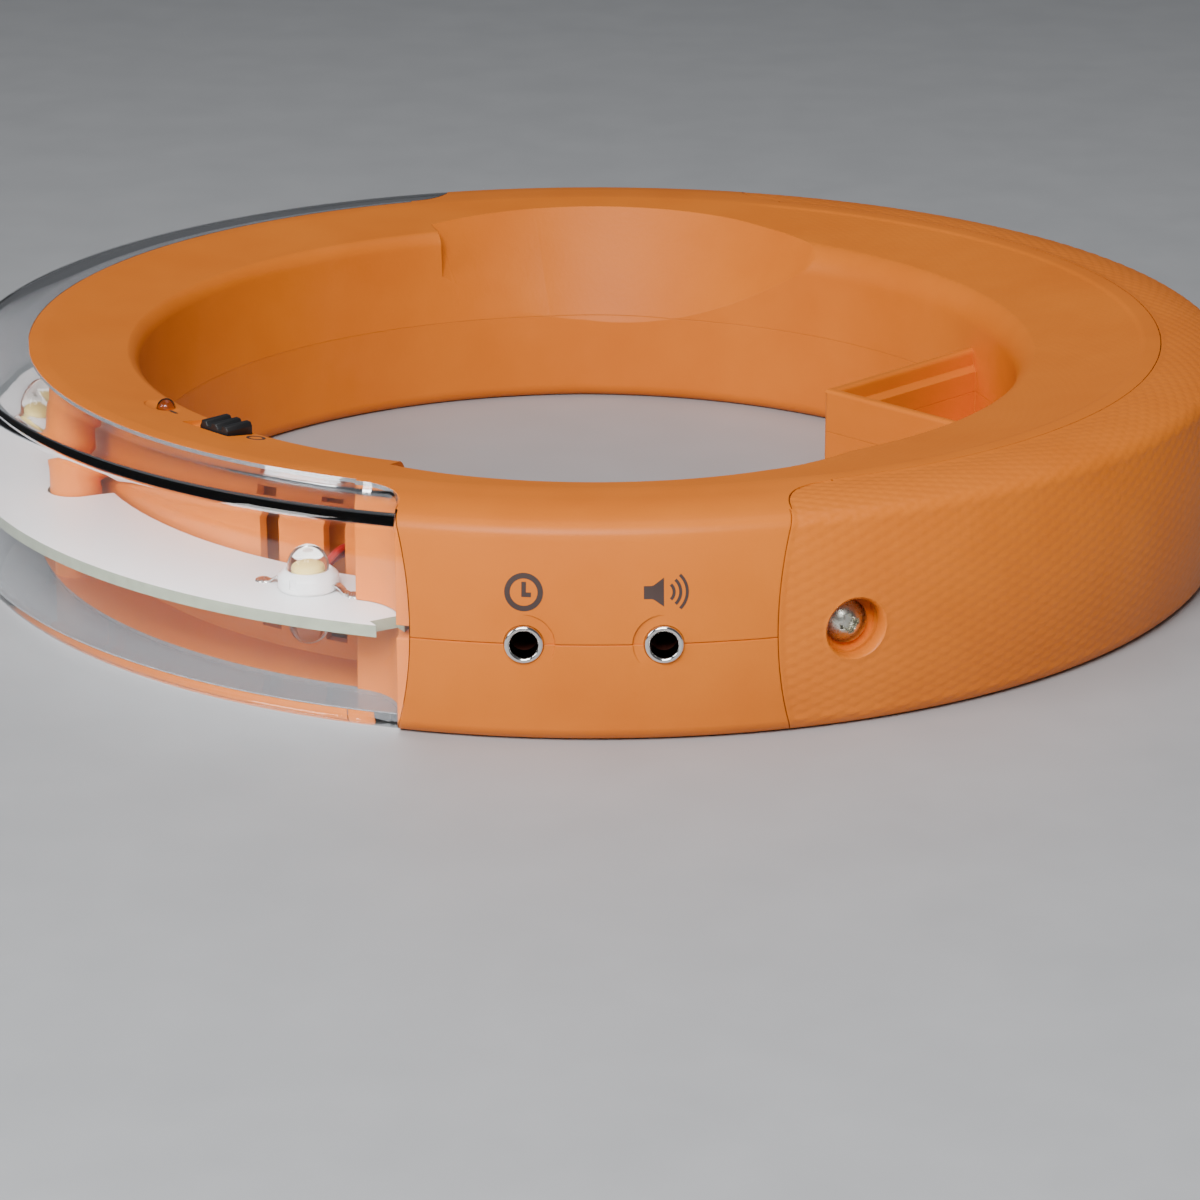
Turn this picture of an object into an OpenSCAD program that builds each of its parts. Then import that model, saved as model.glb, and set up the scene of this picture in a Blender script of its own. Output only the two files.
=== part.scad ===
// Ring-shaped hand-held signal device: two shell halves form a hollow ring. A clear lens closes
// the lamp sector, a textured cover closes the battery sector, and two jack sockets sit between.
// The ring lies flat: origin on its axis at the resting plane, front (jacks) towards -Y, +Z up.
// Angles are measured around the axis from the front, positive towards the grip (+X).

/* [Ring] */
// Outer radius at mid height
ring_r = 96; // [92:0.5:100]
// Radius of the hand hole
hole_r = 66.8; // [64:0.2:67.6]
// Height of the ring
ring_h = 31; // [30.6:0.1:31.6]
// Height of the line where the two shell halves meet
parting_z = 14.2; // [13.8:0.1:14.6]
// Wall thickness of the shells and the cover
wall = 2.2; // [1.8:0.1:2.4]
// How far the grip side of the hand hole stands inwards
grip_inset = 3.8; // [3:0.1:4.2]

/* [Seams] */
// Angle from the front to the seams of lens and cover, at mid height
seam_a = 14.35; // [14:0.05:15]
// Radius of the bowed ends of lens and cover, seen from outside
bow_r = 45; // [42:1:55]
// Inner radius of the flanges of lens and cover
flange_r = 84.2; // [84:0.1:85]
// Corner radius of the flanges, seen from above
corner_r = 8; // [6:0.5:8]
// Gap between the shells and the parts let into them
seam_gap = 0.1; // [0.05:0.05:0.15]

/* [Lamp] */
// Wall thickness of the clear lens
lens_t = 2.4; // [2:0.1:2.6]
// Radius of the wall behind the lamps
back_r = 75.2; // [75:0.1:75.6]
// Thickness of the lamp board and of the other boards
board_t = 1.6; // [1.2:0.1:1.6]
// Diameter of a lamp package
led_d = 8; // [6:0.5:8]
// Diameter of a lamp dome
dome_d = 5.5; // [4:0.5:6]
// Angles of the lamps
led_angles = [-27, -90, -153];

/* [Jacks] */
// Distance between the two jack sockets
jack_pitch = 18; // [17:0.5:18]
// Bore of a jack socket, for a 3.5 mm plug
jack_bore_d = 3.6; // [3.52:0.01:3.6]
// Outer diameter of the metal bezel
bezel_d = 5.1; // [4.8:0.1:5.2]
// Diameter of the shallow recess around a jack
jack_recess_d = 8.2; // [7:0.1:8.4]

/* [Moving pieces] */
// Travel of the power switch knob
switch_travel = 3; // [2:0.5:3]
// Angle of the knob at its off end
switch_a = -44.7; // [-46:0.1:-44]
// Travel of the start button
button_travel = 1.5; // [1:0.1:1.5]
// Diameter of the start button
button_d = 16; // [14:0.5:16]

/* [Thumb pocket] */
// Distance from the ring axis to the outer corner of the pocket
pocket_x = 34.5; // [34:0.5:38]
// Height of the pocket rim
pocket_h = 20.7; // [19:0.1:22]
// Thickness of the pocket wall at the rim
pocket_t = 1.7; // [1.5:0.1:1.8]

/* [Power] */
// Diameter of a battery cell
cell_d = 14.2; // [13.5:0.1:14.4]
// Length of a battery cell with its nub
cell_l = 50; // [48:0.5:50.5]
// Radius on which the cells lie
cell_r = 77.6; // [77.4:0.1:77.8]
// Angles of the cells
cell_angles = [46, 90, 134];

/* [Hidden] */

shell_orange = [0.88, 0.5, 0.2];
board_green = [0.35, 0.5, 0.35];
board_white = [0.9, 0.9, 0.88];
bare_metal = [0.8, 0.8, 0.78];
black_plastic = [0.12, 0.12, 0.13];

eps = 0.01;
solid_r = 58;
round_fn = 64;
mid_z = ring_h / 2;
grip_axis_x = -grip_inset;
barrel_r = 57;
crown_r = 22;
crown_x = 86.5;
bottom_fillet = 2.9;
top_fillet = 2.6;
hole_fillet = 2.5;
crease_z = 13.5;

// Chamfer of the hand hole at the front and rear: an oblique cone beside the ring axis
scoop_y = 34;
scoop_slope = 0.643;
scoop_r0 = hole_r - scoop_y;
step_a = 22;

back_t = 1.4;
boss_a = [-67.5, -112.5];
boss_r = 80.3;
boss_d = 7.2;
// The lower bosses end just short of the upper ones, so that the walls meet first
boss_gap = 0.1;
screw_sites = [[0, 73.6], [180, 73.6], [22.3, 73], [157.7, 73], [boss_a[0], boss_r],
    [boss_a[1], boss_r]];
screw_d = 2.8;
cover_screw_a = [20.8, 159.2];
cover_screw_d = 2.6;
cover_seat_r = 92;
post_size = [7, 7.5, 16];
post_r = 87.5;

board_z = 13;
board_in = 76;
board_out = 92.8;
board_a = seam_a + 1.4;
led_r = 83;
led_h = 2.8;

control_z = 8.6;
jack_y = 95.9;
jack_front = 92.6;
jack_depth = 15;
jack_body = [6.4, 13.3, 7.5];

knob_r = 72;
knob_size = [6, 4.4, 1.5];
slide_a = switch_a - asin(switch_travel / 2 / knob_r);
switch_size = [9.2, 3.2, 4.2];
switch_z = 22.4;
stem = [1.8, 1.4];
indicator_a = -56.7;
indicator_d = 2.6;

button_x = 53;
button_top = 11.6;
button_roof = 1.8;
plate_z = [7.8, 9.2];
pocket_floor = 3.5;
button_board_z = pocket_floor + 0.1;
button_board_t = 1;

cell_z = 13.6;
nub_l = 1;
tray_size = [57.2, 13, 1.6];
tray_z = 2.4;
spring_l = 3.4;

sounder_d = 21;
sounder_y = [84.5, 91];
wire_d = 1;

function arc(cx, cz, r, a0, a1, n) =
    [for (i = [0:n]) let (a = a0 + (a1 - a0) * i / n) [cx + r * cos(a), cz + r * sin(a)]];
function unit(v) = v / norm(v);
function left_of(v) = [-v.y, v.x];
function inset(pts, t) = let (n = len(pts)) [for (i = [0:n - 1])
    let (a = left_of(unit(pts[i] - pts[(i + n - 1) % n])),
         b = left_of(unit(pts[(i + 1) % n] - pts[i])))
    pts[i] + t * (a + b) / (1 + a * b)];
function barrel_x(z) = ring_r - barrel_r + sqrt(pow(barrel_r, 2) - pow(z - mid_z, 2));
function barrel_a(z) = asin((z - mid_z) / barrel_r);
function crown_a(x) = acos((x - crown_x) / crown_r);

// Outer side of every section: bottom corner, barrel, top corner and crown, as far in as flange_r
low_corner = [barrel_x(bottom_fillet) - bottom_fillet, bottom_fillet];
top_corner_z = ring_h - 3.4;
top_corner = [barrel_x(top_corner_z) - top_fillet, top_corner_z];
outer_side = concat(
    arc(low_corner.x, low_corner.y, bottom_fillet, 270, 345, 3),
    arc(ring_r - barrel_r, mid_z, barrel_r, barrel_a(bottom_fillet), barrel_a(top_corner_z), 5),
    arc(top_corner.x, top_corner.y, top_fillet, 38, 68, 1),
    arc(crown_x, ring_h - crown_r, crown_r, crown_a(92), 90, 2));

// Section of the whole ring before the hand hole is taken out: its top is flat as far in as
// flat_x and then slopes gently down towards the hand hole
flat_x = 82;
top_slope = 0.144;
ring_outline = concat([[solid_r, 0]], outer_side,
    [[flat_x, ring_h], [solid_r, ring_h - (flat_x - solid_r) * top_slope]]);

// Edges of the hand hole: rounded at the bottom, and at the top of the lamp side and grip side
low_edge = arc(hole_r + hole_fillet, hole_fillet, hole_fillet, 270, 180, 2);
land_round = 2.6;
land_lip = [hole_r + 1.2 + land_round, ring_h - 1.6 - land_round, land_round];
grip_round = 5;
grip_lip = [hole_r + grip_round, ring_h - 1.9 - grip_round, grip_round];

module at(a) {
    rotate([0, 0, a]) children();
}

module turn(a0, a1) {
    at(a0 - 90) rotate_extrude(angle = a1 - a0, $fn = 180) children();
}

// Bowed end of the lens or cover at the seam angle, as a space that runs on past the corner
module seam_end(grow = 0) {
    at(seam_a) difference() {
        translate([bow_r - grow, 0, mid_z]) rotate([90, 0, 0])
            cylinder(r = bow_r, h = 130, $fn = 128);
        flange_corner(grow);
    }
}

module flange_corner(grow) {
    bow_in = bow_r - sqrt(pow(bow_r, 2) - pow(mid_z, 2));
    x0 = bow_in - grow;
    y0 = -(flange_r - grow);
    translate([x0, y0, -6]) difference() {
        translate([-8, -corner_r, 0]) cube([8 + corner_r, corner_r + 2, 47]);
        translate([corner_r, -corner_r, -1]) cylinder(r = corner_r, h = 50, $fn = 96);
    }
}

module lamp_side() {
    mirror([1, 0, 0]) children();
}

module half(upper) {
    intersection() {
        children();
        translate([0, upper ? parting_z : parting_z - 60]) square([200, 60]);
    }
}

// Round form of the hand hole, grown by t, about the ring axis or about grip_axis_x
module hole_form(t, upper, lip) {
    lean = (lip.x - lip.z - hole_r) / (lip.y - parting_z);
    low_x = hole_r - (parting_z + 10) * lean;
    pts = upper ? concat([[0, -10], [low_x, -10]],
            arc(lip.x, lip.y, lip.z, 180, 98, 3), [[lip.x + 4, 50], [0, 50]]) :
        concat([[0, -10], [hole_r + hole_fillet, -10]], low_edge, [[hole_r, 50], [0, 50]]);
    rotate_extrude($fn = 180) intersection() {
        polygon(inset(pts, -t));
        translate([0, -5]) square([100, 50]);
    }
}

// Outer form of a shell half at t = 0, or the cavity inside it at t = wall
module ring_form(t, upper) {
    difference() {
        rotate_extrude($fn = 180) half(upper) polygon(inset(ring_outline, t));
        intersection() {
            hole_form(t, upper, land_lip);
            translate([grip_axis_x, 0, 0]) hole_form(t, upper, grip_lip);
        }
        for (m = [0, 1]) mirror([0, m, 0]) scoop(t);
    }
}

// A hollow shell half, open where lens and cover are let in
module half_shell(upper) {
    difference() {
        ring_form(0, upper);
        ring_form(wall, upper);
        all_sides() insert_space(seam_gap);
    }
}

// Space of the lens or cover, grown by the gap around it
module insert_space(grow) {
    intersection() {
        union() {
            for (m = [0, 1]) mirror([0, m, 0]) seam_end(grow);
            translate([ring_r * sin(seam_a + 15), -150, -5]) cube([150, 300, 60]);
        }
        ring_space(flange_r - grow);
    }
}

module all_sides() {
    for (x = [0, 1]) mirror([x, 0, 0]) children();
}

module ring_space(r) {
    translate([0, 0, -20]) difference() {
        cylinder(r = 140, h = 80, $fn = 180);
        translate([0, 0, -1]) cylinder(r = r, h = 82, $fn = 180);
    }
}

// Oblique cone that thins the inner edge of the ring at the front, as far as step_a on the lamp
// side; it runs out by itself on the grip side
module scoop(t) {
    r0 = scoop_r0 + t / cos(atan(scoop_slope));
    below = 6;
    above = 30;
    intersection() {
        translate([0, -scoop_y, crease_z - below])
            cylinder(r1 = r0 - below * scoop_slope, r2 = r0 + above * scoop_slope,
                h = below + above, $fn = 128);
        at(-step_a - t * 0.8) translate([0, -150, 0]) cube([150, 200, 60]);
    }
}

// Wall behind the seam, which closes the hollow ring towards the lens or the cover
module seam_web(r0) {
    difference() {
        intersection() {
            turn(seam_a - 5, seam_a + 14) polygon(inset(ring_outline, wall / 2));
            seam_end(2);
            ring_space(r0);
        }
        seam_end(seam_gap);
        scoop(wall / 2);
    }
}

// Webs at the four seams, with room for the posts and for the lamp board
module seam_webs() {
    for (m = [0, 1]) mirror([0, m, 0]) {
        difference() {
            seam_web(flange_r - 2);
            at_cover_posts() post_block(0.2);
        }
        lamp_side() difference() {
            seam_web(back_r - back_t / 2);
            at(seam_a) translate([0.4, -board_out - 1, board_z - 0.1])
                cube([24, board_out - board_in + 2, board_t + 0.2]);
        }
    }
}

// Block of a post, grown by a gap around it
module post_block(gap) {
    translate([-post_size.x / 2 - gap, -post_r - gap, wall - gap])
        cube([post_size.x + 2 * gap, post_size.y + 2 * gap, post_size.z + 2 * gap]);
}

module at_cover_posts() {
    for (a = cover_screw_a) at(a) children();
}

// Wall behind the lamps, closed off under the land
module back_wall() {
    difference() {
        turn(seam_a - 180 + 0.15, -seam_a - 0.15) translate([back_r - back_t, wall / 2])
            square([back_t, ring_h - wall * 1.6]);
        for (m = [0, 1]) mirror([0, m, 0]) scoop(wall / 2);
    }
}

module above_or_below(upper) {
    intersection() {
        children();
        translate([-150, -150, upper ? parting_z : parting_z - 60]) cube([300, 300, 60]);
    }
}

module boss(site, z0, z1, bore) {
    at(site[0]) translate([0, -site[1], z0]) difference() {
        cylinder(d = boss_d, h = z1 - z0, $fn = round_fn);
        translate([0, 0, -1]) cylinder(d = bore, h = z1 - z0 + 2, $fn = round_fn);
    }
}

// Screw bosses end inside the upper wall, which the scoop lowers at the front and rear
function boss_top(site) = site[1] > back_r ? ring_h - wall * 0.6 : 21.5;

module upper_bosses() {
    difference() {
        for (s = screw_sites) boss(s, parting_z, boss_top(s), screw_d + 0.1);
        for (m = [0, 1]) mirror([0, m, 0]) scoop(wall / 2);
    }
}

module jack_openings() {
    for (x = [-1, 1] * jack_pitch / 2) translate([x, 0, parting_z]) {
        translate([0, -80, 0]) rotate([90, 0, 0])
            cylinder(d = bezel_d + 0.1, h = 30, $fn = round_fn);
        difference() {
            translate([0, -80, 0]) rotate([90, 0, 0])
                cylinder(d = jack_recess_d, h = 30, $fn = round_fn);
            translate([-x, 0, -30]) cylinder(r = ring_r - 0.45, h = 60, $fn = 180);
        }
    }
}

module sound_slots() {
    for (i = [-3:3]) {
        half_h = sqrt(pow(8.6, 2) - pow(i * 2.6, 2));
        translate([i * 2.6 - 0.6, 91.5, mid_z - half_h]) cube([1.2, 8, 2 * half_h]);
    }
}

module lamp_slots() {
    for (m = [0, 1], a = [-35.7, -27.5]) mirror([0, m, 0]) at(a)
        translate([-1.65, -back_r - 2, 4.5]) cube([3.3, 4, 21.5]);
}

module pocket_v(inside, z0, z1) {
    x0 = pocket_x + inside * sqrt(2);
    translate([0, 0, z0]) linear_extrude(z1 - z0)
        polygon([[x0, 0], [x0 + 40, -40], [x0 + 40, 40]]);
}

module grip_hole(grow, z0, z1) {
    translate([grip_axis_x, 0, z0]) cylinder(r = hole_r + grow, h = z1 - z0, $fn = 180);
}

// Pocket walls between two heights, running just into the ring wall
module pocket_walls(t, z0, z1) {
    intersection() {
        difference() {
            pocket_v(0, z0, z1);
            pocket_v(t, z0 - 1, z1 + 1);
        }
        grip_hole(1, z0 - 1, z1 + 1);
    }
}

// Window for the knob's stem, with a shallow recess around the knob
module switch_window() {
    at(slide_a) translate([0, -knob_r, 0]) {
        translate([-stem.x / 2 - switch_travel / 2 - 0.3, -stem.y / 2 - 0.2, 26])
            cube([stem.x + switch_travel + 0.6, stem.y + 0.4, 8]);
        translate([-5, -2.6, ring_h - 2.2]) cube([10, 5.2, 4]);
    }
}

module indicator_hole() {
    at(indicator_a) translate([0, -knob_r, 26])
        cylinder(d = indicator_d + 0.2, h = 8, $fn = round_fn);
}

module upper_shell() {
    color(shell_orange) difference() {
        union() {
            half_shell(true);
            above_or_below(true) {
                seam_webs();
                back_wall();
            }
            upper_bosses();
            pocket_walls(pocket_t, parting_z, pocket_h);
            pocket_walls(pocket_t + 1, parting_z, pocket_h - 3);
        }
        lamp_slots();
        jack_openings();
        sound_slots();
        switch_window();
        indicator_hole();
    }
}

module lower_shell() {
    color(shell_orange) difference() {
        union() {
            half_shell(false);
            above_or_below(false) {
                seam_webs();
                back_wall();
            }
            for (s = screw_sites) boss(s, 1, parting_z - boss_gap, screw_d + 0.6);
            pocket_walls(pocket_t + 1, 1.5, parting_z);
            intersection() {
                pocket_v(1, 1.5, pocket_floor);
                grip_hole(1, 0, pocket_floor + 1);
            }
        }
        lamp_slots();
        jack_openings();
        sound_slots();
        for (s = screw_sites) at(s[0]) translate([0, -s[1], -1]) {
            cylinder(d = screw_d + 0.6, h = 10, $fn = round_fn);
            cylinder(d = 6.4, h = 3.5, $fn = round_fn);
        }
    }
}

// A part let into the ring's outer side, with bowed ends: the lens or the cover
module ring_insert(t) {
    intersection() {
        rotate_extrude($fn = 180) intersection() {
            difference() {
                polygon(ring_outline);
                polygon(inset(ring_outline, t));
            }
            translate([flange_r - 3, -1]) square([50, 60]);
        }
        insert_space(0);
    }
}

module lamp_lens() {
    color([0.85, 0.9, 0.95]) lamp_side() ring_insert(lens_t);
}

module grip_cover() {
    color(shell_orange) difference() {
        union() {
            ring_insert(wall);
            for (a = cover_screw_a) at(a) translate([0, -post_r - 0.1, parting_z])
                rotate([90, 0, 0]) cylinder(d = 11, h = 6.6, $fn = round_fn);
        }
        for (a = cover_screw_a) at(a) translate([0, 0, parting_z]) rotate([90, 0, 0]) {
            translate([0, 0, 80]) cylinder(d = 3.6, h = 30, $fn = round_fn);
            translate([0, 0, cover_seat_r]) cylinder(d = 8, h = 30, $fn = round_fn);
        }
    }
}

// Posts that stand on the floor of the ring and take the screws of the cover
module cover_posts() {
    color(shell_orange) at_cover_posts() difference() {
        post_block(0);
        translate([0, -post_r + post_size.y + 1, parting_z]) rotate([90, 0, 0])
            cylinder(d = cover_screw_d + 0.1, h = post_size.y + 2, $fn = round_fn);
    }
}

// Pan head screw along +Z, seated at z = 0 with its head above
module screw(head_d, head_h, shank_d, length) {
    difference() {
        union() {
            cylinder(d = head_d, h = head_h * 0.45, $fn = round_fn);
            translate([0, 0, head_h * 0.45])
                cylinder(d1 = head_d, d2 = head_d * 0.62, h = head_h * 0.55, $fn = round_fn);
            translate([0, 0, -length]) cylinder(d = shank_d, h = length + eps, $fn = round_fn);
        }
        for (a = [0, 90]) rotate([0, 0, a])
            translate([-head_d * 0.3, -head_d * 0.07, head_h * 0.3])
                cube([head_d * 0.6, head_d * 0.14, head_h]);
    }
}

module cover_screws() {
    color(bare_metal) for (a = cover_screw_a) at(a) translate([0, -cover_seat_r, parting_z])
        rotate([90, 0, 0]) screw(5.8, 1.9, cover_screw_d, 10);
}

module shell_screws() {
    color(bare_metal) for (s = screw_sites) at(s[0]) translate([0, -s[1], 2.5])
        rotate([180, 0, 0]) screw(5.6, 1.8, screw_d, 15);
}

module lamp_board() {
    color(board_white) difference() {
        translate([0, 0, board_z]) turn(board_a - 180, -board_a)
            translate([board_in, 0]) square([board_out - board_in, board_t]);
        for (a = boss_a) at(a) translate([0, -boss_r, 0]) {
            cylinder(d = boss_d + 0.8, h = 40, $fn = round_fn);
            translate([-boss_d / 2 - 0.4, 0, 0]) cube([boss_d + 0.8, 8, 40]);
        }
        for (m = [0, 1]) mirror([0, m, 0]) at(-board_a)
            translate([0, -board_out, board_z - 1]) rotate([0, 0, 45])
                translate([-2, -4, 0]) cube([4, 8, board_t + 2]);
    }
}

// Runs its children on the top of the lamp board at each lamp, and mirrored underneath
module at_lamps() {
    for (a = led_angles) at(a) translate([0, -led_r, board_z + board_t / 2])
        for (m = [0, 1]) mirror([0, 0, m]) translate([0, 0, board_t / 2]) children();
}

module led_packages() {
    color("white") at_lamps() cylinder(d = led_d, h = led_h, $fn = round_fn);
}

module led_domes() {
    color([0.95, 0.9, 0.7]) at_lamps() translate([0, 0, led_h]) rotate_extrude($fn = round_fn)
        intersection() {
            union() {
                square([dome_d / 2, 0.6]);
                translate([0, 0.6]) circle(d = dome_d, $fn = round_fn);
            }
            square([dome_d, dome_d]);
        }
}

module led_leads() {
    color(bare_metal) at_lamps() for (s = [-1, 1]) scale([s, s, 1]) {
        translate([led_d / 2 + 0.05, -0.6, 0]) cube([3.4, 1.2, 0.35]);
        translate([led_d / 2 + 0.05, -0.6, 0]) cube([0.5, 1.2, 1.2]);
    }
}

module jack_socket(x) {
    color(black_plastic) difference() {
        translate([x - jack_body.x / 2, -jack_front, control_z + board_t])
            cube([jack_body.x, jack_body.y, jack_body.z]);
        translate([x, -jack_y + jack_depth, parting_z]) rotate([90, 0, 0])
            cylinder(d = jack_bore_d, h = jack_depth + 1, $fn = round_fn);
    }
}

module jack_bezel(x) {
    color(bare_metal) translate([x, -jack_front, parting_z]) rotate([90, 0, 0]) difference() {
        cylinder(d = bezel_d, h = jack_y - jack_front, $fn = round_fn);
        translate([0, 0, -1]) cylinder(d = jack_bore_d, h = 6, $fn = round_fn);
    }
}

module timer_jack_body() {
    jack_socket(-jack_pitch / 2);
}

module speaker_jack_body() {
    jack_socket(jack_pitch / 2);
}

module timer_jack_bezel() {
    jack_bezel(-jack_pitch / 2);
}

module speaker_jack_bezel() {
    jack_bezel(jack_pitch / 2);
}

// Places of the jack pins on the control board
pin_sites = [for (x = [-1, 1] * jack_pitch / 2, p = [[-2.4, -90.2], [2.4, -90.2], [2.4, -83]])
    [x + p.x, p.y]];

module jack_pins() {
    color(bare_metal) for (p = pin_sites) translate([p.x, p.y, control_z - 1.4])
        cylinder(d = 0.8, h = board_t + 1.4, $fn = 24);
}

module control_board() {
    color(board_green) difference() {
        translate([-17.5, -91, control_z]) cube([35, 13.4, board_t]);
        for (p = pin_sites) translate([p.x, p.y, control_z - 1])
            cylinder(d = 1, h = board_t + 2, $fn = 24);
    }
}

module board_chips() {
    color(black_plastic) translate([0, 0, control_z + board_t]) {
        translate([-3.5, -87, 0]) cube([7, 7, 1]);
        for (x = [-16.5, 13.5]) translate([x, -86, 0]) cube([3, 3, 1.2]);
        translate([-14.8, -82, 0]) cylinder(d = 3, h = 5, $fn = 32);
    }
}

// Runs its children in the power switch's own frame: +X towards the off end
module at_switch() {
    at(slide_a) translate([0, -knob_r, 0]) children();
}

module power_switch_body() {
    color(black_plastic) at_switch() translate([0, 0, switch_z]) difference() {
        translate([-switch_size.x / 2, -switch_size.y / 2, 0]) cube(switch_size);
        translate([-stem.x / 2 - switch_travel / 2 - 0.2, -stem.y / 2 - 0.1, 1.2])
            cube([stem.x + switch_travel + 0.4, stem.y + 0.2, 6]);
    }
}

// Knob with three ribs across its travel, on a stem that reaches into the switch body
module power_switch_knob() {
    knob_z = ring_h - 2.1;
    color(black_plastic) at_switch() translate([switch_travel / 2, 0, 0]) {
        translate([-stem.x / 2, -stem.y / 2, switch_z + 1.7])
            cube([stem.x, stem.y, knob_z - switch_z - 1.7 + eps]);
        translate([-knob_size.x / 2, -knob_size.y / 2, knob_z]) cube(knob_size);
        for (i = [-1:1]) translate([i * 2.2 - 0.55, -knob_size.y / 2, knob_z + knob_size.z - eps])
            cube([1.1, knob_size.y, 0.6]);
    }
}

module switch_wiper() {
    color(bare_metal) at_switch() translate([switch_travel / 2, 0, switch_z + 1.35])
        translate([-0.8, -0.5, 0]) cube([1.6, 1, 0.35]);
}

module switch_board() {
    color(board_green) turn(-63, -41) translate([knob_r - 1.7, switch_z - board_t])
        square([3.2, board_t]);
}

module indicator_led() {
    color([0.95, 0.8, 0.78]) at(indicator_a) translate([0, -knob_r, switch_z]) {
        cylinder(d = indicator_d, h = 7, $fn = 48);
        translate([0, 0, 7]) sphere(d = indicator_d, $fn = 48);
    }
}

module start_button() {
    flange_z = [plate_z[0] - 1.5, plate_z[0] - 0.3];
    color(black_plastic) translate([button_x, 0, 0]) difference() {
        union() {
            translate([0, 0, flange_z[0]])
                cylinder(d = button_d + 2, h = flange_z[1] - flange_z[0], $fn = 96);
            translate([0, 0, flange_z[0]])
                cylinder(d = button_d, h = button_top - 1 - flange_z[0], $fn = 96);
            translate([0, 0, button_top - 1])
                cylinder(d1 = button_d, d2 = button_d - 2, h = 1, $fn = 96);
        }
        cylinder(d = button_d - 3.2, h = button_top - button_roof, $fn = 96);
    }
}

module pocket_plate() {
    color(shell_orange) difference() {
        intersection() {
            pocket_v(pocket_t + 1.05, plate_z[0], plate_z[1]);
            grip_hole(-0.05, 0, 20);
        }
        translate([button_x, 0, 0]) cylinder(d = button_d + 0.3, h = 20, $fn = 96);
    }
}

module button_board() {
    color(board_green) translate([button_x, 0, button_board_z])
        cylinder(d = 18, h = button_board_t, $fn = 96);
}

// The button's roof meets the nub of its switch at the end of the travel
module button_switch() {
    body_h = 3;
    foot_z = button_board_z + button_board_t;
    nub_h = button_top - button_roof - 0.05 - button_travel - foot_z - body_h;
    color(black_plastic) translate([button_x, 0, foot_z]) {
        translate([-3, -3, 0]) cube([6, 6, body_h]);
        translate([0, 0, body_h]) cylinder(d = 3.4, h = nub_h, $fn = 32);
    }
}

// Solid of round section along a list of points, each ring square to the way it runs
module strand(points, d) {
    sides = 8;
    n = len(points);
    rings = [for (i = [0:n - 1])
        let (t = unit(points[min(i + 1, n - 1)] - points[max(i - 1, 0)]),
             u = unit(cross(t, [0, 0, 1])), v = cross(u, t))
        for (k = [0:sides - 1]) let (a = 360 * k / sides)
            points[i] + d / 2 * (cos(a) * u + sin(a) * v)];
    polyhedron(rings, concat(
        [[for (k = [0:sides - 1]) k]],
        [for (i = [0:n - 2], k = [0:sides - 1]) let (j = (k + 1) % sides)
            [i * sides + j, i * sides + k, (i + 1) * sides + k, (i + 1) * sides + j]],
        [[for (k = [sides - 1:-1:0]) (n - 1) * sides + k]]));
}

// Coil spring along +Z, with wire of diameter d and mean radius r0 at its foot, r1 at its top
module coil(r0, r1, length, turns, d) {
    steps = 16 * turns;
    strand([for (i = [0:steps]) let (f = i / steps, a = 360 * turns * f, r = r0 + (r1 - r0) * f)
        [r * cos(a), r * sin(a), d / 2 + (length - d) * f]], d);
}

module button_spring() {
    foot_z = button_board_z + button_board_t;
    color(bare_metal) translate([button_x, 0, foot_z + 0.05])
        coil(5, 5, button_top - button_roof - foot_z - 0.1, 3, 0.5);
}

// Runs its children in the frame of one cell: +X along the cell, towards its nub
module at_cell(i) {
    at(cell_angles[i]) translate([0, -cell_r, cell_z]) children();
}

module cell(i, grow = 0) {
    at_cell(i) rotate([0, 90, 0]) {
        translate([0, 0, -cell_l / 2])
            cylinder(d = cell_d + grow, h = cell_l - nub_l, $fn = round_fn);
        translate([0, 0, cell_l / 2 - nub_l - eps])
            cylinder(d = 5.4, h = nub_l + eps, $fn = round_fn);
    }
}

module battery_1() {
    color("goldenrod") cell(0);
}

module battery_2() {
    color("goldenrod") cell(1);
}

module battery_3() {
    color("goldenrod") cell(2);
}

module battery_tray() {
    color(black_plastic) difference() {
        union() {
            for (i = [0:2]) at_cell(i) translate([0, 0, tray_z - cell_z]) {
                translate([-30.2, -tray_size.y / 2, 0]) cube(tray_size);
                for (x = [-30.2, 25.9]) translate([x, -tray_size.y / 2, 0])
                    cube([1.1, tray_size.y, 15]);
                for (x = [-15, 12]) translate([x, -tray_size.y / 2, 0])
                    cube([3, tray_size.y, 7]);
            }
            turn(cell_angles[0], cell_angles[2]) translate([cell_r, tray_z])
                square([6, tray_size.z]);
        }
        for (i = [0:2]) cell(i, 0.2);
    }
}

module battery_plates() {
    color(bare_metal) for (i = [0:2]) at_cell(i) for (x = [-29, 25.3])
        translate([x, -5, -6]) cube([0.5, 10, 12]);
}

module battery_springs() {
    color(bare_metal) for (i = [0:2]) at_cell(i) translate([-cell_l / 2 - 0.05, 0, 0])
        rotate([0, -90, 0]) coil(3, 4.2, spring_l, 3, 0.7);
}

module sounder() {
    color(black_plastic) translate([0, sounder_y[1], mid_z]) rotate([90, 0, 0]) {
        cylinder(d = sounder_d, h = 3, $fn = 96);
        translate([0, 0, 3 - eps]) cylinder(d = sounder_d * 0.6, h = 3.5, $fn = 96);
    }
}

module sounder_gasket() {
    color("dimgray") translate([0, sounder_y[1] + 1, mid_z]) rotate([90, 0, 0]) difference() {
        cylinder(d = sounder_d - 0.5, h = 1, $fn = 96);
        translate([0, 0, -1]) cylinder(d = sounder_d - 3.5, h = 3, $fn = 96);
    }
}

// Point on a wire's route from its angle around the ring, radius and height
function on_ring(p) = [p[1] * sin(p[0]), -p[1] * cos(p[0]), p[2]];

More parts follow.
